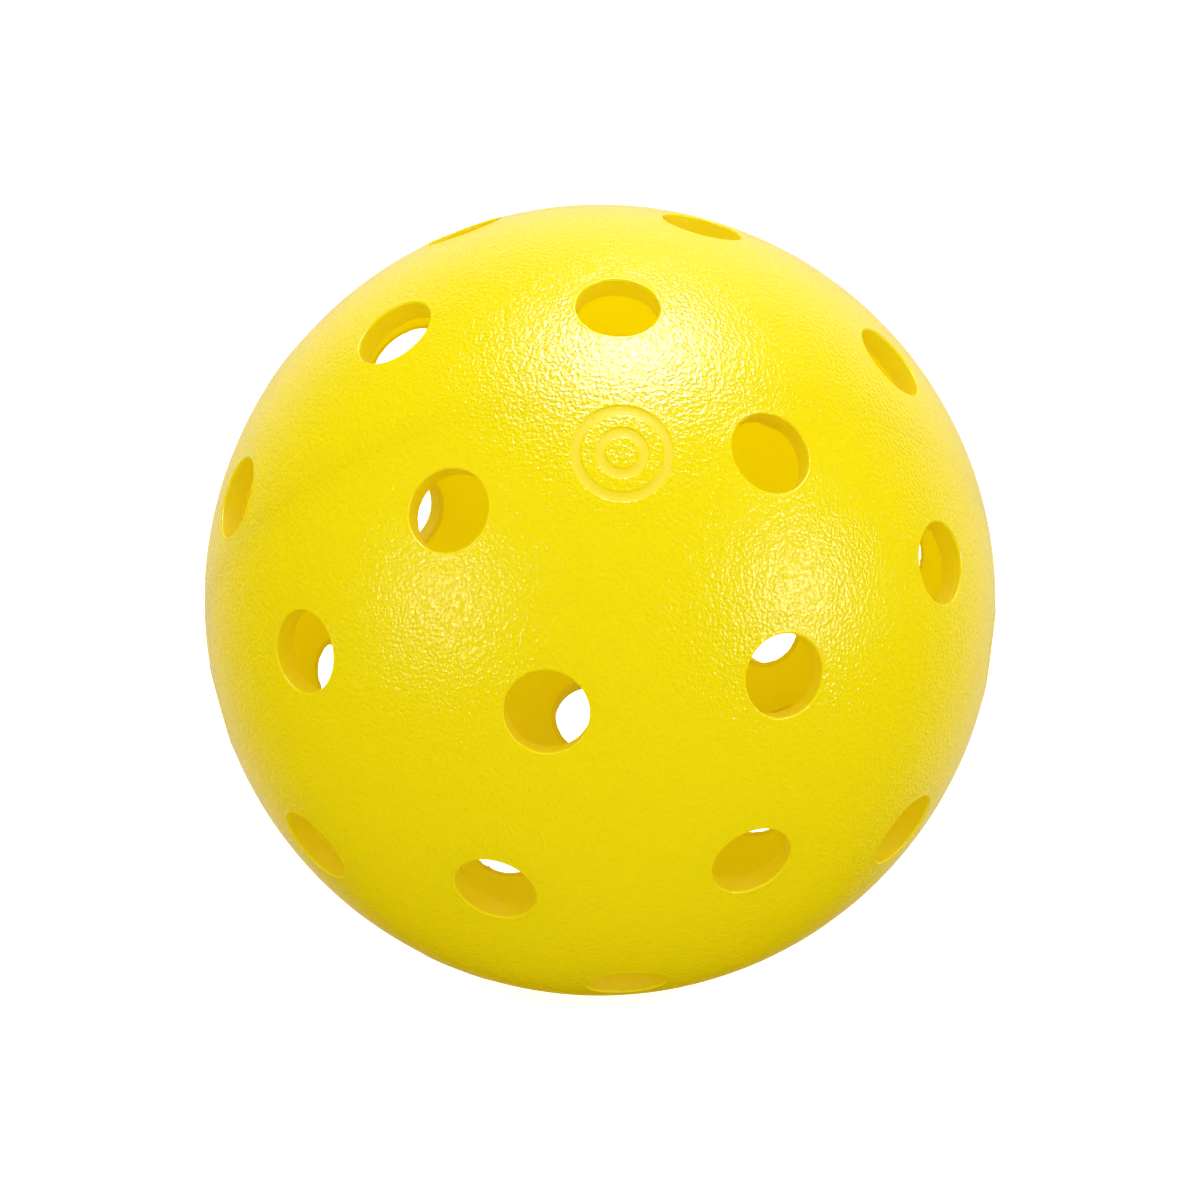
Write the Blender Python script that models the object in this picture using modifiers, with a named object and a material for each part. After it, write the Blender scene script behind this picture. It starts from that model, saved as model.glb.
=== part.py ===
"""A forty-hole pickleball ball: two moulded half shells lapped and welded together, then drilled.

The origin is the centre of the ball. A half turn about X brings the whole drilling pattern back
onto itself, the spiral that the holes follow starts at the -Y pole, and +Z is up. The weld runs
round the widest band that the holes leave free, so its plane is tilted about X.
"""

import math

import bmesh
import bpy
from mathutils import Matrix, Vector

# Driving sizes, in metres.
BALL_DIAMETER = 0.074
WALL = 0.00185
HOLE_DIAMETER = 0.0074
SPIGOT_LENGTH = 0.0007
BEAD_WIDTH = 0.0013
BEAD_HEIGHT = 0.0006
CLEARANCE = 0.0003
DRILL_OVERRUN = 0.0015

# The drilling pattern.
HOLE_COUNT = 40
GOLDEN_TURN = math.pi * (3 - math.sqrt(5))
TILT_STEP = math.radians(0.25)

# How finely the round shapes are divided.
STEPS_AROUND = 56
STEPS_POLE_TO_RIM = 13
STEPS_OVER_BEAD = 5
DRILL_SIDES = 22

# The yellow of the mould resin.
RESIN_COLOUR = (0.91, 0.76, 0.02, 1.0)
BEAD_COLOUR = (0.80, 0.60, 0.02, 1.0)
RESIN_ROUGHNESS = 0.45

OUTER_RADIUS = BALL_DIAMETER / 2
INNER_RADIUS = OUTER_RADIUS - WALL
LAP_THICKNESS = (WALL - CLEARANCE) / 2
RIM_HEIGHT = CLEARANCE / 2
SPIGOT_TOP = SPIGOT_LENGTH - RIM_HEIGHT
REBATE_FLOOR = SPIGOT_TOP + CLEARANCE


def clear_the_scene():
    for old in list(bpy.data.objects):
        bpy.data.objects.remove(old)


def collection_for(name, hidden=False):
    collection = bpy.data.collections.new(name)
    collection.hide_render = hidden
    bpy.context.scene.collection.children.link(collection)
    return collection


def resin(name, colour):
    material = bpy.data.materials.new(name)
    material.use_nodes = True
    shader = material.node_tree.nodes["Principled BSDF"]
    shader.inputs["Base Color"].default_value = colour
    shader.inputs["Roughness"].default_value = RESIN_ROUGHNESS
    shader.inputs["Metallic"].default_value = 0.0
    material.diffuse_color = colour
    return material


# Where the holes and the weld go.


def hole_direction(index):
    """Unit vector to one hole. The holes share the sphere's height equally along the -Y pole
    and turn by the golden angle from each to the next, which spaces them evenly everywhere."""
    height = 1 - (2 * index + 1) / HOLE_COUNT
    reach = math.sqrt(1 - height * height)
    turn = math.pi + ((HOLE_COUNT - 1) / 2 - index) * GOLDEN_TURN
    return Vector((reach * math.cos(turn), -height, reach * math.sin(turn)))


def weld_normal(tilt):
    """The weld plane's normal, leaning from +Z towards +Y."""
    return Vector((0, math.sin(tilt), math.cos(tilt)))


def widest_band_tilt(holes):
    """The tilt whose weld plane stays furthest from every hole. Any tilt about the half-turn
    axis leaves the same holes in both halves, so half of them are in each."""

    def nearest_hole(tilt):
        return min(abs(hole.dot(weld_normal(tilt))) for hole in holes)

    tilts = [step * TILT_STEP for step in range(round(math.pi / TILT_STEP))]
    return max(tilts, key=nearest_hole)


# Meshes.


def turned(name, profile, closed, collection, tilt, material):
    """A profile of (radius, height) points turned about the weld axis."""
    mesh = bpy.data.meshes.new(name)
    edges = [(at, at + 1) for at in range(len(profile) - 1)]
    if closed:
        edges.append((len(profile) - 1, 0))
    mesh.from_pydata([(radius, 0, height) for radius, height in profile], edges, [])
    mesh.materials.append(material)
    piece = bpy.data.objects.new(name, mesh)
    piece.rotation_euler = (-tilt, 0, 0)
    collection.objects.link(piece)
    screw = piece.modifiers.new("turn", "SCREW")
    screw.angle = 2 * math.pi
    screw.steps = screw.render_steps = STEPS_AROUND
    screw.use_merge_vertices = True
    screw.merge_threshold = 0.00001
    screw.use_smooth_shade = True
    return piece


def arc(radius, start_height, end_height):
    """Points on a circle about the origin, from one height to another."""
    steps = STEPS_POLE_TO_RIM
    start = math.asin(start_height / radius)
    end = math.asin(end_height / radius)
    angles = [start + (end - start) * step / steps for step in range(steps + 1)]
    return [(radius * math.cos(angle), radius * math.sin(angle)) for angle in angles]


def on_axis(profile):
    """The profile with its two ends exactly on the axis of the turning."""
    return [(0.0, profile[0][1])] + profile[1:-1] + [(0.0, profile[-1][1])]


def socket_profile():
    """The upper half: a bowl, mouth down, whose rim is rebated on the inside for the spigot."""
    outside = arc(OUTER_RADIUS, OUTER_RADIUS, RIM_HEIGHT)
    rebate_wall = INNER_RADIUS + LAP_THICKNESS + CLEARANCE
    inside = arc(INNER_RADIUS, REBATE_FLOOR, INNER_RADIUS)
    return on_axis(outside + [(rebate_wall, RIM_HEIGHT), (rebate_wall, REBATE_FLOOR)] + inside)


def spigot_profile():
    """The lower half: a bowl, mouth up, whose rim carries a thin spigot on the inside."""
    inside = arc(INNER_RADIUS, -INNER_RADIUS, SPIGOT_TOP)
    spigot_wall = INNER_RADIUS + LAP_THICKNESS
    outside = arc(OUTER_RADIUS, -RIM_HEIGHT, -OUTER_RADIUS)
    return on_axis(inside + [(spigot_wall, SPIGOT_TOP), (spigot_wall, -RIM_HEIGHT)] + outside)


def bead_profile():
    """Melt squeezed out along the inside of the joint: a low ridge, half an oval in section, with
    its flat side to the shells. It runs up the inside of the ridge, from the foot to the top."""
    middle = (SPIGOT_TOP + REBATE_FLOOR) / 2
    seat = math.sqrt((INNER_RADIUS - CLEARANCE) ** 2 - (middle + BEAD_WIDTH / 2) ** 2)
    angles = [math.pi * (step / STEPS_OVER_BEAD - 0.5) for step in range(STEPS_OVER_BEAD + 1)]
    return [
        (seat - BEAD_HEIGHT * math.cos(angle), middle + BEAD_WIDTH / 2 * math.sin(angle))
        for angle in angles
    ]


def drill_set(holes, collection):
    """One straight radial drill for each hole, all in one cutter."""
    mesh = bpy.data.meshes.new("drill_set")
    bottom = INNER_RADIUS - BEAD_HEIGHT - CLEARANCE - DRILL_OVERRUN
    top = OUTER_RADIUS + DRILL_OVERRUN
    drills = bmesh.new()
    for hole in holes:
        turn = hole.to_track_quat("Z", "Y").to_matrix().to_4x4()
        bmesh.ops.create_cone(
            drills,
            cap_ends=True,
            segments=DRILL_SIDES,
            radius1=HOLE_DIAMETER / 2,
            radius2=HOLE_DIAMETER / 2,
            depth=top - bottom,
            matrix=turn @ Matrix.Translation((0, 0, (top + bottom) / 2)),
        )
    drills.to_mesh(mesh)
    drills.free()
    cutter = bpy.data.objects.new("drill_set", mesh)
    cutter.hide_render = True
    cutter.display_type = "WIRE"
    collection.objects.link(cutter)
    return cutter


def drill(piece, cutter):
    cut = piece.modifiers.new("drilled", "BOOLEAN")
    cut.operation = "DIFFERENCE"
    cut.solver = "EXACT"
    cut.object = cutter


clear_the_scene()
ball = collection_for("pickleball_ball")
cutters = collection_for("cutters", hidden=True)

holes = [hole_direction(index) for index in range(HOLE_COUNT)]
tilt = widest_band_tilt(holes)
shell_resin = resin("shell_resin", RESIN_COLOUR)
bead_resin = resin("bead_resin", BEAD_COLOUR)

upper = turned("upper_half_shell", socket_profile(), False, ball, tilt, shell_resin)
lower = turned("lower_half_shell", spigot_profile(), False, ball, tilt, shell_resin)
bead = turned("inner_weld_bead", bead_profile(), True, ball, tilt, bead_resin)

drills = drill_set(holes, cutters)
for half in (upper, lower, bead):
    drill(half, drills)
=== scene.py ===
"""A forty-hole pickleball ball, yellow and drilled, on a pale studio floor."""

import math

import bpy
import numpy as np
from mathutils import Matrix, Vector, noise
from mathutils.geometry import delaunay_2d_cdt


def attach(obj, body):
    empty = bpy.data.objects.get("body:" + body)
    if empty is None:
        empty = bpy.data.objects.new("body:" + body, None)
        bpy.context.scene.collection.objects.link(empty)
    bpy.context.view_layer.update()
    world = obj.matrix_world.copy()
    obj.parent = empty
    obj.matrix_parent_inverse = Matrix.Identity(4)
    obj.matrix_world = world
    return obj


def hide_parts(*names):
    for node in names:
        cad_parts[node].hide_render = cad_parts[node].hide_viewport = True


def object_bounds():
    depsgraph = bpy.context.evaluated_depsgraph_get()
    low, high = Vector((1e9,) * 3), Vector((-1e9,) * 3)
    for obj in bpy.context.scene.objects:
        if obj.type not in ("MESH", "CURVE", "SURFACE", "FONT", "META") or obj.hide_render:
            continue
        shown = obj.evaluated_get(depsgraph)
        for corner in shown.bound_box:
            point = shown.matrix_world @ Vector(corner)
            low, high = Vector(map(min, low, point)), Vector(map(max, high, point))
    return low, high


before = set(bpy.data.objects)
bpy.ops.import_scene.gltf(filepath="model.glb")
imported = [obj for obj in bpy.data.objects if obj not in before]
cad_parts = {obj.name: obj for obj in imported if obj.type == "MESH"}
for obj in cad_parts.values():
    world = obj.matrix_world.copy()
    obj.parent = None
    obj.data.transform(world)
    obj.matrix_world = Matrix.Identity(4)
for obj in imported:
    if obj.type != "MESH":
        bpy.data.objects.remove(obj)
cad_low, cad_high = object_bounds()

# Camera: a long lens ten and a half ball radii away, a little above the ball's middle and
# rolled by a degree. The ball is two thirds of the picture's width.

BALL_RADIUS = (cad_high.x - cad_low.x) / 2
CAMERA_AZIMUTH = math.radians(-13.62)
CAMERA_HEIGHT = math.radians(6.37)
CAMERA_ROLL = math.radians(0.99)
CAMERA_DISTANCE = 10.5 * BALL_RADIUS

camera_data = bpy.data.cameras.new("studio_camera")
camera_data.sensor_width = 36
camera_data.lens = 124.1
camera_data.clip_start = 0.01
camera_data.clip_end = 20
camera = bpy.data.objects.new("studio_camera", camera_data)
bpy.context.scene.collection.objects.link(camera)
bpy.context.scene.camera = camera
towards_camera = Vector((
    math.sin(CAMERA_AZIMUTH) * math.cos(CAMERA_HEIGHT),
    -math.cos(CAMERA_AZIMUTH) * math.cos(CAMERA_HEIGHT),
    math.sin(CAMERA_HEIGHT),
))
level_right = Vector((math.cos(CAMERA_AZIMUTH), math.sin(CAMERA_AZIMUTH), 0))
camera_right = Matrix.Rotation(CAMERA_ROLL, 3, towards_camera) @ level_right
camera_up = towards_camera.cross(camera_right)
camera.rotation_mode = "QUATERNION"
camera_axes = Matrix((camera_right, camera_up, towards_camera)).transposed()
camera.rotation_quaternion = camera_axes.to_quaternion()
camera.location = towards_camera * CAMERA_DISTANCE

# Lower half shell: half of the ball, moulded in glossy yellow resin with a finely pebbled
# skin. Its rim carries a thin spigot on the inside, it was drilled after the welding, and a
# shallow maker's mark of two plain rings is pressed into it just under the weld.

WALL = 0.00185
LAP = 0.000775
HOLE_RADIUS = 0.0037
HOLE_COUNT = 40
GOLDEN_TURN = math.pi * (3 - math.sqrt(5))
WELD_TILT = math.radians(35.5)
WELD_HAIRLINE = 0.000006
SPIGOT_REACH = 0.00082
SPIGOT_EASE = 0.00002
INSIDE_RADIUS = BALL_RADIUS - WALL
HOLE_STEPS = 72
RIM_STEPS = 330
SKIN_SPACING = 0.00095
INSIDE_SPACING = 0.0016
LIP_WIDTH = 0.0009
LIP_RAISE = 0.00003
LIP_ROUND = 0.00017
LIP_PROFILE = ((0.62, 0.15), (0.42, 0.55), (0.29, 0.9))
LIP_ROUND_STEPS = 6
BORE_WEAR = (
    (0.12, 0), (0.30, 3), (0.34, -9), (0.40, 2),
    (0.58, 0), (0.63, -7), (0.68, 3), (0.9, 0),
)
WEAR_UNIT = 0.000001
BURR_SPREAD = 0.00045
SINK_WAVE = 0.000018
SINK_FADE = 0.004
MARK_AZIMUTH = math.radians(-10.7)
MARK_HEIGHT = math.radians(26.4)
MARK_EDGE = 0.0049
MARK_DEPTH = 0.00012
MARK_GROOVES = ((0.0045, 0.0035), (0.0024, 0.0014))
MARK_STEPS = 144
GROOVE_SOFT = 0.00014
GROOVE_BRIM = 0.00012
GROOVE_SLOPE = (0.0, 0.2, 0.5, 0.8, 1.0)
MARK_CENTRE = 0.0007

SKIN = 0
INSIDE = 1
DRILLED = 2
PRESSED = 3


def unit(vector):
    return vector / np.linalg.norm(vector)


def hole_direction(index):
    """The holes share the height along the -Y pole equally and turn by the golden angle."""
    height = 1 - (2 * index + 1) / HOLE_COUNT
    reach = math.sqrt(1 - height * height)
    turn = math.pi + ((HOLE_COUNT - 1) / 2 - index) * GOLDEN_TURN
    return np.array((reach * math.cos(turn), -height, reach * math.sin(turn)))


def weld_frame(half_turn):
    """Columns are the weld's own axes in the part frame, with the half's pole as the third."""
    side = -1 if half_turn else 1
    across = np.array((0, math.cos(WELD_TILT), -math.sin(WELD_TILT)))
    pole = np.array((0, math.sin(WELD_TILT), math.cos(WELD_TILT)))
    return np.column_stack(((1, 0, 0), side * across, side * pole))


def hoop(direction, radius, height, steps):
    """A ring of points about a direction: radius from its axis, height along it."""
    start = np.array((0.0, 0.0, 1.0)) if abs(direction[2]) < 0.9 else np.array((1.0, 0.0, 0.0))
    first = unit(np.cross(start, direction))
    second = np.cross(direction, first)
    turn = np.arange(steps)[:, None] * 2 * math.pi / steps
    radius = np.broadcast_to(radius, steps)[:, None]
    height = np.broadcast_to(height, steps)[:, None]
    return direction * height + radius * (first * np.cos(turn) + second * np.sin(turn))


def hoop_on_ball(direction, radius, ball, steps):
    return hoop(direction, radius, math.sqrt(ball * ball - radius * radius), steps)


def sunk(points):
    """Points moved along their own radius by a slow random wave, as cooling resin sinks. The
    wave dies away at the weld, so that the two halves meet."""
    moved = []
    for point in points:
        wave = noise.noise(Vector(point) * 190)
        wave += 0.5 * noise.noise(Vector(point) * 430 + Vector((7, 3, 1)))
        fade = min(1.0, max(0.0, point[2] / SINK_FADE))
        moved.append(point * (1 + SINK_WAVE * fade * fade * wave / np.linalg.norm(point)))
    return np.array(moved)


class ShellMesh:
    """Collects the points and faces of one half shell, pole up."""

    def __init__(self):
        self.points = []
        self.faces = []
        self.finishes = []

    def add(self, points):
        first = len(self.points)
        self.points.extend(map(tuple, points))
        return np.arange(first, first + len(points))

    def band(self, outer, inner, finish):
        """Quads from one ring of points to the next, both counted the same way round."""
        for at in range(len(outer)):
            after = (at + 1) % len(outer)
            self.faces.append((outer[at], outer[after], inner[after], inner[at]))
            self.finishes.append(finish)

    def fan(self, ring, middle, finish):
        for at in range(len(ring)):
            self.faces.append((ring[at], ring[(at + 1) % len(ring)], middle))
            self.finishes.append(finish)

    def sheet(self, loops, loose, openings, finish, inward):
        """A triangle net over a half ball, from loose points and from rings that are already
        there. Openings are (direction, cosine of the half angle)."""
        rings = [np.array([self.points[at] for at in loop]) for loop in loops]
        all_points = np.vstack(rings + [loose])
        kept = np.concatenate(loops + [self.add(loose)])
        unit_points = all_points / np.linalg.norm(all_points, axis=1)[:, None]
        flat = unit_points[:, :2] / (1 + unit_points[:, 2:])
        edges = []
        first = 0
        for loop in loops:
            count = len(loop)
            edges.extend((first + at, first + (at + 1) % count) for at in range(count))
            first += count
        net = delaunay_2d_cdt([Vector(pair) for pair in flat], edges, [], 0, 1e-9)
        source = [kept[origin[0]] for origin in net[3]]
        places = np.array([unit_points[origin[0]] for origin in net[3]])
        for face in net[2]:
            middle = unit(places[list(face)].sum(axis=0))
            if any(middle @ direction > cosine for direction, cosine in openings):
                continue
            corners = tuple(source[at] for at in face)
            self.faces.append(corners[::-1] if inward else corners)
            self.finishes.append(finish)


def half_angle_cosine(radius, ball):
    """Cosine of the angle that a circle of this radius, drawn on the ball, takes in."""
    return math.cos(math.asin(radius / ball))


def scattered(ball, spacing, lowest):
    """Points spread evenly over a half ball, above a lowest height."""
    count = round(2 * math.pi * ball * ball / (spacing * spacing * 0.866))
    at = np.arange(count)
    height = 1 - (at + 0.5) / count
    reach = np.sqrt(1 - height * height)
    turn = at * GOLDEN_TURN
    points = ball * np.column_stack((reach * np.cos(turn), reach * np.sin(turn), height))
    return points[points[:, 2] > lowest]


def clear_of(points, ball, keep_out):
    """The points that lie outside every round area, given as (direction, radius) pairs."""
    for direction, radius in keep_out:
        points = points[points @ direction / ball < half_angle_cosine(radius, ball)]
    return points


def ragged(turn, frequency, seed):
    """Random values round a hole, the same where the round closes."""
    return np.array([
        noise.noise(Vector((math.cos(angle) * frequency, math.sin(angle) * frequency, seed)))
        for angle in turn
    ])


def drill_hole(shell, direction, seed):
    """The strip of rings from the skin over the lip, down the bore and out to the inside."""
    steps = HOLE_STEPS
    turn = np.arange(steps) * 2 * math.pi / steps
    top = math.sqrt(BALL_RADIUS ** 2 - HOLE_RADIUS ** 2)
    bottom = math.sqrt(INSIDE_RADIUS ** 2 - HOLE_RADIUS ** 2)
    out_of_round = 0.000012 * np.sin(2 * turn + seed) + 0.000006 * np.sin(5 * turn + 2.3 * seed)
    bore = HOLE_RADIUS + out_of_round
    rings = []
    outer_ring = sunk(hoop_on_ball(direction, HOLE_RADIUS + LIP_WIDTH, BALL_RADIUS, steps))
    rings.append(shell.add(outer_ring))
    for share, lift in LIP_PROFILE:
        radius = HOLE_RADIUS + LIP_WIDTH * share
        rings.append(shell.add(sunk(hoop_on_ball(
            direction, radius, BALL_RADIUS + LIP_RAISE * lift, steps,
        ))))
    crown = top + LIP_RAISE - LIP_ROUND
    for step in range(LIP_ROUND_STEPS + 1):
        angle = math.pi / 2 * step / LIP_ROUND_STEPS
        radius = bore + LIP_ROUND * (1 - math.sin(angle))
        height = crown + LIP_ROUND * math.cos(angle)
        rings.append(shell.add(sunk(hoop(direction, radius, height, steps))))
    skin_rings = len(rings) - 1
    for share, wear in BORE_WEAR:
        radius = bore + (wear + 4 * ragged(turn, 3, seed + share * 9)) * WEAR_UNIT
        height = crown - (crown - bottom) * share
        rings.append(shell.add(hoop(direction, radius, height, steps)))
    burr = np.clip(ragged(turn, 7, seed * 3.1), 0, 1) ** 1.4
    burr_radius = bore - 0.00004 - 0.00008 * burr
    burr_tip = bottom - 0.00005 - 0.00016 * burr
    burr_back = bottom - 0.00003 - 0.00005 * burr
    rings.append(shell.add(hoop(direction, burr_radius, burr_tip, steps)))
    rings.append(shell.add(hoop(direction, bore + 0.0001, burr_back, steps)))
    inner_ring = hoop_on_ball(direction, HOLE_RADIUS + BURR_SPREAD, INSIDE_RADIUS, steps)
    rings.append(shell.add(inner_ring))
    for at in range(len(rings) - 1):
        # The bore rings take the darker bore finish, whose tone is painted shade.
        shell.band(rings[at], rings[at + 1], SKIN if at < skin_rings else DRILLED)
    return rings[0], rings[-1]


def press_mark(shell, direction):
    """Two plain round grooves about one middle, with soft edges."""
    profile = [(MARK_EDGE, 0.0)]
    for wide, narrow in MARK_GROOVES:
        profile.append((wide + GROOVE_BRIM, 0.0))
        for share in GROOVE_SLOPE:
            profile.append((wide - GROOVE_SOFT * share, share * share * (3 - 2 * share)))
        profile.append(((wide + narrow) / 2, 1.0))
        for share in reversed(GROOVE_SLOPE):
            profile.append((narrow + GROOVE_SOFT * share, share * share * (3 - 2 * share)))
        profile.append((narrow - GROOVE_BRIM, 0.0))
    profile.append((MARK_CENTRE, 0.0))
    rings = []
    for radius, share in profile:
        ball = BALL_RADIUS - MARK_DEPTH * share
        rings.append(shell.add(sunk(hoop_on_ball(direction, radius, ball, MARK_STEPS))))
    for at in range(len(rings) - 1):
        polished = profile[at][1] + profile[at + 1][1] > 1.6
        shell.band(rings[at], rings[at + 1], PRESSED if polished else SKIN)
    middle = shell.add(sunk([direction * BALL_RADIUS]))[0]
    shell.fan(rings[-1], middle, SKIN)
    return rings[0]


def half_shell(name, half_turn, rim_profile, mark=None):
    """One half of the ball as a single closed solid. Rim profile points are (radius, height)
    from the outer edge of the rim to the edge of the inside, height above the weld plane."""
    axes = weld_frame(half_turn)
    shell = ShellMesh()
    up = np.array((0.0, 0.0, 1.0))
    holes = [hole_direction(index) @ axes for index in range(HOLE_COUNT)]
    drilled = [(hole, index) for index, hole in enumerate(holes) if hole[2] > 0]
    rims = [shell.add(hoop(up, radius, height, RIM_STEPS)) for radius, height in rim_profile]
    for at in range(len(rims) - 1):
        shell.band(rims[at + 1], rims[at], SKIN if at == 0 else INSIDE)
    outside_loops = [rims[0]]
    inside_loops = [rims[-1]]
    for direction, index in drilled:
        outer_ring, inner_ring = drill_hole(shell, direction, 1.7 * index)
        outside_loops.append(outer_ring)
        inside_loops.append(inner_ring)

    # The skin, outside. Rings of loose points grade it from each hole and the mark.
    hole_edge = HOLE_RADIUS + LIP_WIDTH
    hole_cosine = half_angle_cosine(hole_edge, BALL_RADIUS)
    openings = [(direction, hole_cosine) for direction, _ in drilled]
    busy = [(direction, hole_edge) for direction, _ in drilled]
    grading = []
    for direction, _ in drilled:
        grading.append(hoop_on_ball(direction, hole_edge + 0.0005, BALL_RADIUS, 52))
        grading.append(hoop_on_ball(direction, hole_edge + 0.0012, BALL_RADIUS, 40))
    if mark is not None:
        mark_direction = mark @ axes
        outside_loops.append(press_mark(shell, mark_direction))
        openings.append((mark_direction, half_angle_cosine(MARK_EDGE, BALL_RADIUS)))
        busy.append((mark_direction, MARK_EDGE))
        grading.append(hoop_on_ball(mark_direction, MARK_EDGE + 0.0005, BALL_RADIUS, 64))
    near_rim = 0.0006
    rim_row = hoop(up, math.sqrt(BALL_RADIUS ** 2 - near_rim ** 2), near_rim, RIM_STEPS)
    graded = np.vstack(grading)
    graded = clear_of(graded, BALL_RADIUS, [(way, radius + 0.0002) for way, radius in busy])
    graded = graded[graded[:, 2] > 0.00035]
    rim_row = clear_of(rim_row, BALL_RADIUS, [(way, radius + 0.0013) for way, radius in busy])
    open_skin = scattered(BALL_RADIUS, SKIN_SPACING, 0.0013)
    open_skin = clear_of(open_skin, BALL_RADIUS, [(way, radius + 0.0019) for way, radius in busy])
    loose = sunk(np.vstack((graded, rim_row, open_skin)))
    shell.sheet(outside_loops, loose, openings, SKIN, inward=False)

    # The inside, in the same way but coarser.
    inner_edge = HOLE_RADIUS + BURR_SPREAD
    inner_cosine = half_angle_cosine(inner_edge, INSIDE_RADIUS)
    inner_openings = [(direction, inner_cosine) for direction, _ in drilled]
    lowest = rim_profile[-1][1] + 0.0006
    graded = np.vstack([
        hoop_on_ball(direction, inner_edge + 0.0007, INSIDE_RADIUS, 40)
        for direction, _ in drilled
    ])
    graded = clear_of(graded, INSIDE_RADIUS, [(way, inner_edge + 0.0003) for way, _ in drilled])
    graded = graded[graded[:, 2] > lowest]
    open_wall = scattered(INSIDE_RADIUS, INSIDE_SPACING, lowest)
    keep_out = [(way, inner_edge + 0.0016) for way, _ in drilled]
    open_wall = clear_of(open_wall, INSIDE_RADIUS, keep_out)
    loose = np.vstack((graded, open_wall))
    shell.sheet(inside_loops, loose, inner_openings, INSIDE, inward=True)

    mesh = bpy.data.meshes.new(name)
    mesh.from_pydata((np.array(shell.points) @ axes.T).tolist(), [], shell.faces)
    mesh.polygons.foreach_set("material_index", shell.finishes)
    mesh.polygons.foreach_set("use_smooth", [True] * len(mesh.polygons))
    mesh.set_sharp_from_angle(angle=math.radians(50))
    mesh.update()
    piece = bpy.data.objects.new(name, mesh)
    bpy.context.scene.collection.objects.link(piece)
    return piece


class Wire:
    """The output of a shader node. An expression on wires adds the Math nodes it needs."""

    def __init__(self, tree, output):
        self.tree = tree
        self.output = output

    @classmethod
    def node(cls, tree, kind, settings, sockets, output=0):
        """Adds a node: its settings first, then the values or links of its sockets."""
        made = tree.nodes.new(kind)
        for name, value in settings.items():
            if name == "stops":
                ramp = made.color_ramp
                while len(ramp.elements) < len(value):
                    ramp.elements.new(0.5)
                for element, (position, shade) in zip(ramp.elements, value):
                    element.position = position
                    element.color = (shade, shade, shade, 1)
            else:
                setattr(made, name, value)
        for name, value in sockets.items():
            if isinstance(value, Wire):
                tree.links.new(value.output, made.inputs[name])
            else:
                made.inputs[name].default_value = value
        return cls(tree, made.outputs[output]) if made.outputs else None

    def maths(self, operation, first, second):
        settings = {"operation": operation}
        return Wire.node(self.tree, "ShaderNodeMath", settings, {0: first, 1: second})

    def __add__(self, other):
        return self.maths("ADD", self, other)

    __radd__ = __add__

    def __sub__(self, other):
        return self.maths("SUBTRACT", self, other)

    def __rsub__(self, other):
        return self.maths("SUBTRACT", other, self)

    def __mul__(self, other):
        return self.maths("MULTIPLY", self, other)

    __rmul__ = __mul__


def resin(name, light, deep, glow_share, pebbled):
    """The moulded yellow resin, between a light and a deep tone, with a few dark specks. Glow
    share is how much of the light goes through it. The skin is pebbled and glossy; the inside,
    the drilled bores and the floor of the mark are smoother and duller."""
    material = bpy.data.materials.new(name)
    material.use_nodes = True
    tree = material.node_tree
    tree.nodes.clear()
    place = Wire.node(tree, "ShaderNodeTexCoord", {}, {}, "Object")

    def cloud(scale, detail, roughness, distortion=0.0):
        return Wire.node(tree, "ShaderNodeTexNoise", {}, {
            "Vector": place, "Scale": scale, "Detail": detail,
            "Roughness": roughness, "Distortion": distortion,
        })

    drift = cloud(70, 2, 0.5)
    mottle = cloud(420, 3, 0.55)
    tone = Wire.node(tree, "ShaderNodeMix", {"data_type": "RGBA"}, {
        0: drift * 0.6 + mottle * 0.4,
        6: (*deep, 1),
        7: (*light, 1),
    }, 2)
    specks = Wire.node(tree, "ShaderNodeTexVoronoi", {"feature": "F1"}, {
        "Vector": place, "Scale": 330, "Randomness": 1.0,
    }, "Distance")
    speck_mask = Wire.node(tree, "ShaderNodeValToRGB", {
        "stops": ((0.018, 1.0), (0.034, 0.0)),
    }, {0: specks})
    picked = Wire.node(tree, "ShaderNodeValToRGB", {
        "stops": ((0.60, 0.0), (0.62, 1.0)),
    }, {0: cloud(150, 0, 0.5)})
    colour = Wire.node(tree, "ShaderNodeMix", {"data_type": "RGBA"}, {
        0: speck_mask * picked * 0.75,
        6: tone,
        7: (0.25, 0.17, 0.01, 1),
    }, 2)
    if pebbled:
        peel = cloud(2500, 2, 0.5, 0.4)
        pits = Wire.node(tree, "ShaderNodeTexVoronoi", {"feature": "SMOOTH_F1"}, {
            "Vector": place, "Scale": 2800, "Smoothness": 0.35,
        }, "Distance")
        height = peel + pits * 0.6 + cloud(6000, 1, 0.5) * 0.12
        depth = 0.00009
        gloss = 0.04 + cloud(900, 2, 0.5) * 0.06
    else:
        height = cloud(700, 2, 0.5) + cloud(3000, 1, 0.5) * 0.2
        depth = 0.00002
        gloss = 0.42 + cloud(500, 2, 0.5) * 0.16
    bump = Wire.node(tree, "ShaderNodeBump", {}, {
        "Strength": 1.0, "Distance": depth, "Height": height,
    })
    solid = Wire.node(tree, "ShaderNodeBsdfPrincipled", {}, {
        "Base Color": colour,
        "Roughness": gloss,
        "Normal": bump,
        "IOR": 1.5,
        "Specular IOR Level": 0.8 if pebbled else 0.4,
    })
    glow = Wire.node(tree, "ShaderNodeBsdfTranslucent", {}, {
        "Color": (0.99, 0.89, 0.004, 1),
    })
    shader = Wire.node(tree, "ShaderNodeMixShader", {}, {0: glow_share, 1: solid, 2: glow})
    Wire.node(tree, "ShaderNodeOutputMaterial", {}, {"Surface": shader})
    return material


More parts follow.
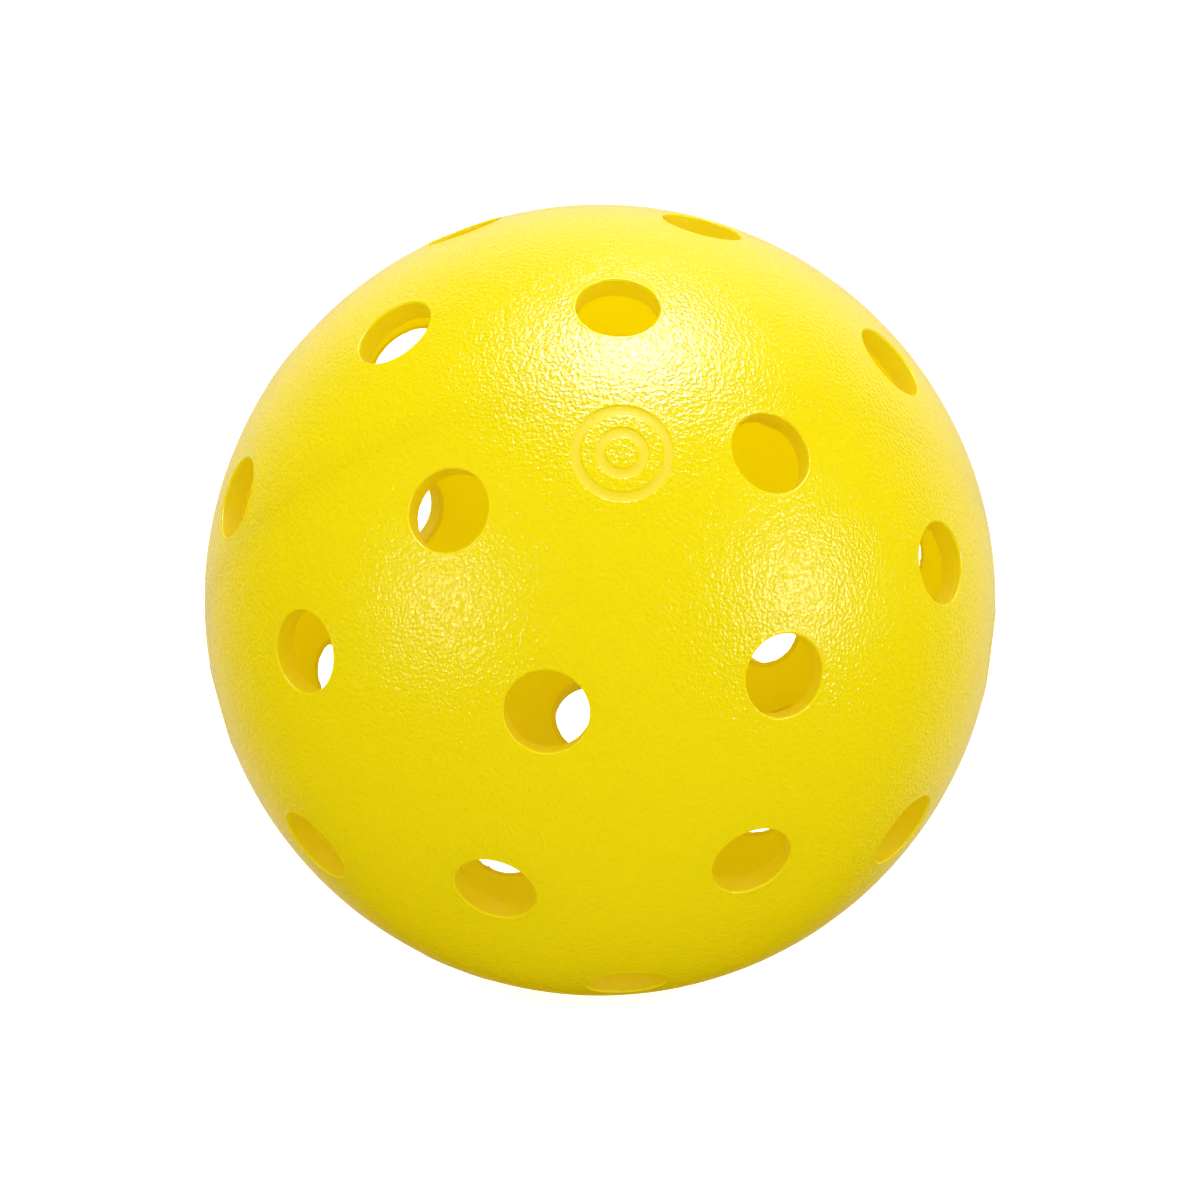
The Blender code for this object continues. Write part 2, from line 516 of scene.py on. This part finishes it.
skin_resin = resin("yellow_resin_skin", (1.0, 0.935, 0.006), (0.97, 0.885, 0.005), 0.45, True)
# The inside is the same resin, but its tone is set deeper and more amber than the skin's: painted
# shade for the dim cavity.
inside_resin = resin("yellow_resin_inside_painted_shade", (1.0, 0.87, 0.003), (0.97, 0.81, 0.002), 0.75, False)
# The bore walls get a darker, more amber tone than the skin: painted shade for the dimness down
# the holes.
drilled_resin = resin("yellow_resin_bore_painted_shade", (0.81, 0.65, 0.003), (0.75, 0.57, 0.002), 0.5, False)
pressed_resin = resin(
    "yellow_resin_pressed_mark", (0.98, 0.88, 0.003), (0.95, 0.84, 0.002), 0.45, False,
)

maker_mark = np.array((
    math.sin(MARK_AZIMUTH) * math.cos(MARK_HEIGHT),
    -math.cos(MARK_AZIMUTH) * math.cos(MARK_HEIGHT),
    math.sin(MARK_HEIGHT),
))
spigot_wall = BALL_RADIUS - LAP - SPIGOT_EASE
lower_half = half_shell("lower_half", True, (
    (BALL_RADIUS, WELD_HAIRLINE),
    (spigot_wall, WELD_HAIRLINE),
    (spigot_wall, -SPIGOT_REACH),
    (INSIDE_RADIUS, -SPIGOT_REACH),
    (INSIDE_RADIUS, 0.00002),
), maker_mark)
for finish in (skin_resin, inside_resin, drilled_resin, pressed_resin):
    lower_half.data.materials.append(finish)
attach(lower_half, "root")
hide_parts("lower_half_shell")

# Upper half shell: the other half, from the same mould tool and drilled to the same pattern
# turned half round. The inside of its rim is rebated to take the lower half's spigot.

REBATE_DEPTH = 0.00085

upper_half = half_shell("upper_half", False, (
    (BALL_RADIUS, WELD_HAIRLINE),
    (BALL_RADIUS - LAP, WELD_HAIRLINE),
    (BALL_RADIUS - LAP, REBATE_DEPTH),
    (math.sqrt(INSIDE_RADIUS ** 2 - REBATE_DEPTH ** 2), REBATE_DEPTH),
))
for finish in (skin_resin, inside_resin, drilled_resin):
    upper_half.data.materials.append(finish)
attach(upper_half, "root")
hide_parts("upper_half_shell")

# Inner weld bead: the thin ridge of melt that the spin weld squeezes out along the inside of
# the joint. It is the same resin, a little darker where it was overheated, and uneven.

BEAD_MIDDLE = 0.0007
BEAD_WIDTH = 0.0012
BEAD_HEIGHT = 0.00042
BEAD_BITE = 0.00001
BEAD_STEPS = 400
BEAD_SIDES = 9


def weld_bead():
    """A closed ring about the weld, half an oval in section, that swells and wanders."""
    axes = weld_frame(False)
    points = []
    for step in range(BEAD_STEPS):
        turn = 2 * math.pi * step / BEAD_STEPS
        place = Vector((math.cos(turn), math.sin(turn), 0)) * INSIDE_RADIUS
        swell = 1 + 0.45 * noise.noise(place * 160) + 0.25 * noise.noise(place * 520)
        wander = 0.00012 * noise.noise(place * 90 + Vector((0, 0, 5)))
        for side in range(BEAD_SIDES):
            angle = math.pi * (side / (BEAD_SIDES - 1) - 0.5)
            half_width = BEAD_WIDTH / 2 * (0.7 + 0.3 * swell)
            height = BEAD_MIDDLE + wander + half_width * math.sin(angle)
            reach = math.sqrt(INSIDE_RADIUS ** 2 - height ** 2) + BEAD_BITE
            if side % (BEAD_SIDES - 1):
                reach -= BEAD_HEIGHT * swell * math.cos(angle) ** 0.8
            points.append((reach * math.cos(turn), reach * math.sin(turn), height))
    faces = []
    for step in range(BEAD_STEPS):
        here = step * BEAD_SIDES
        after = (step + 1) % BEAD_STEPS * BEAD_SIDES
        for side in range(BEAD_SIDES):
            above = (side + 1) % BEAD_SIDES
            faces.append((here + side, here + above, after + above, after + side))
    mesh = bpy.data.meshes.new("weld_bead")
    mesh.from_pydata((np.array(points) @ axes.T).tolist(), [], faces)
    mesh.polygons.foreach_set("use_smooth", [True] * len(mesh.polygons))
    mesh.set_sharp_from_angle(angle=math.radians(60))
    piece = bpy.data.objects.new("weld_bead", mesh)
    bpy.context.scene.collection.objects.link(piece)
    return piece


bead = weld_bead()
melt_resin = resin("yellow_resin_weld_melt", (0.98, 0.83, 0.003), (0.94, 0.76, 0.002), 0.7, False)
bead.data.materials.append(melt_resin)
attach(bead, "root")
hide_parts("inner_weld_bead")

# Floor: a wide plain white sheet that the ball stands on. It is lit almost to white, casts no
# shadow on the ball and throws no light on it.

FLOOR_HALF = 6.0
FLOOR_GAP = 0.00002

floor_mesh = bpy.data.meshes.new("studio_floor")
floor_mesh.from_pydata([
    (-FLOOR_HALF, -FLOOR_HALF, 0), (FLOOR_HALF, -FLOOR_HALF, 0),
    (FLOOR_HALF, FLOOR_HALF, 0), (-FLOOR_HALF, FLOOR_HALF, 0),
], [], [(0, 1, 2, 3)])
floor = bpy.data.objects.new("studio_floor", floor_mesh)
floor.location = (0, 0, cad_low.z - FLOOR_GAP)
bpy.context.scene.collection.objects.link(floor)
paper = bpy.data.materials.new("white_studio_paper")
paper.use_nodes = True
paper_tree = paper.node_tree
paper_tree.nodes.clear()
paper_place = Wire.node(paper_tree, "ShaderNodeTexCoord", {}, {}, "Object")
paper_grain = Wire.node(paper_tree, "ShaderNodeTexNoise", {}, {
    "Vector": paper_place, "Scale": 9.0,
})
paper_tone = Wire.node(paper_tree, "ShaderNodeMix", {"data_type": "RGBA"}, {
    0: paper_grain, 6: (0.90, 0.90, 0.90, 1), 7: (0.93, 0.93, 0.93, 1),
}, 2)
paper_shader = Wire.node(paper_tree, "ShaderNodeBsdfPrincipled", {}, {
    "Base Color": paper_tone, "Roughness": 0.9, "Specular IOR Level": 0.0,
    "Emission Color": (1, 1, 1, 1), "Emission Strength": 0.86,
})
Wire.node(paper_tree, "ShaderNodeOutputMaterial", {}, {"Surface": paper_shader})
floor_mesh.materials.append(paper)
floor.visible_diffuse = False
floor.visible_glossy = False
floor.visible_transmission = False
floor.visible_shadow = False

# Studio: a wide softbox overhead with a hot centre, a narrow one at each side of the camera,
# a white panel behind the ball, and an even room that is brighter from above than below.

PAPER_WHITE = 1.05


def softbox(name, way, distance, width, height, strength):
    """A soft light facing the ball. Way is (right, up, towards the camera); strength is the
    brightness of its face."""
    direction = camera_right * way[0] + camera_up * way[1] + towards_camera * way[2]
    direction = direction.normalized()
    light = bpy.data.lights.new(name, "AREA")
    light.shape = "RECTANGLE"
    light.size = width
    light.size_y = height
    light.energy = strength * width * height * math.pi
    lamp = bpy.data.objects.new(name, light)
    lamp.location = direction * distance
    lamp.rotation_mode = "QUATERNION"
    lamp.rotation_quaternion = direction.to_track_quat("Z", "Y")
    lamp.visible_camera = False
    lamp.visible_diffuse = False
    lamp.visible_transmission = False
    bpy.context.scene.collection.objects.link(lamp)


softbox("overhead_softbox", (0.12, 0.962, 0.24), 1.0, 0.82, 0.66, 6.0)
softbox("overhead_hot_centre", (0.11, 0.960, 0.25), 0.98, 0.34, 0.36, 22.0)
softbox("left_strip", (-0.70, 0.0, 0.715), 1.0, 0.20, 0.40, 8.5)
softbox("right_strip", (0.84, 0.04, 0.54), 1.0, 0.32, 0.42, 9.0)

room = bpy.data.worlds.new("studio_room")
room.use_nodes = True
room.cycles.sampling_method = "NONE"
room_tree = room.node_tree
room_tree.nodes.clear()
room_way = Wire.node(room_tree, "ShaderNodeTexCoord", {}, {}, "Generated")


def along(direction):
    """How far a ray points along a direction, from -1 to 1."""
    return Wire.node(room_tree, "ShaderNodeVectorMath", {"operation": "DOT_PRODUCT"}, {
        0: room_way, 1: tuple(direction.normalized()),
    }, "Value")


def ramp(value, start, end, low, high, curve):
    return Wire.node(room_tree, "ShaderNodeMapRange", {"interpolation_type": curve}, {
        "Value": value, "From Min": start, "From Max": end, "To Min": low, "To Max": high,
    })


# What the gloss reflects: the white panel behind the ball, down to the edge of the table.
sideways = Wire.node(room_tree, "ShaderNodeMath", {"operation": "ABSOLUTE"}, {
    0: along(camera_right),
})
above_table = ramp(along(camera_up) + 0.45 * sideways, -0.22, -0.04, 0.0, 1.0, "SMOOTHSTEP")
panel_way = camera_right * 0.12 + camera_up * 0.2 - towards_camera
panel = ramp(along(panel_way), 0.45, 0.85, 0.0, 1.0, "SMOOTHSTEP") * above_table
panel = panel * (0.80 + 0.6 * along(camera_up))

# What lights the resin: the room in front, overhead, behind and below.
key_way = camera_right * 0.20 + camera_up * 0.85 + towards_camera * 0.45
front_way = camera_right * 0.05 + camera_up * 0.25 + towards_camera * 0.97
back_way = camera_up * 0.55 - towards_camera * 0.83
below_way = towards_camera * 0.35 - camera_up * 0.94
fill = ramp(along(front_way), -0.9, -0.25, 0.03, 0.60, "LINEAR")
fill = fill + ramp(along(key_way), 0.04, 0.50, 0.0, 0.78, "LINEAR")
fill = fill + ramp(along(back_way), 0.05, 0.9, 0.0, 0.85, "LINEAR")
fill = fill + ramp(along(below_way), 0.20, 1.0, 0.0, 0.24, "LINEAR")

glossy = Wire.node(room_tree, "ShaderNodeLightPath", {}, {}, "Is Glossy Ray")
camera_ray = Wire.node(room_tree, "ShaderNodeLightPath", {}, {}, "Is Camera Ray")
room_light = fill * (1 - glossy) + panel * glossy
strength = room_light * (1 - camera_ray) + PAPER_WHITE * camera_ray
backdrop = Wire.node(room_tree, "ShaderNodeBackground", {}, {
    "Color": (1, 1, 1, 1), "Strength": strength,
})
Wire.node(room_tree, "ShaderNodeOutputWorld", {}, {"Surface": backdrop})
bpy.context.scene.world = room
bpy.context.scene.view_settings.view_transform = "Standard"
bpy.context.scene.view_settings.look = "None"
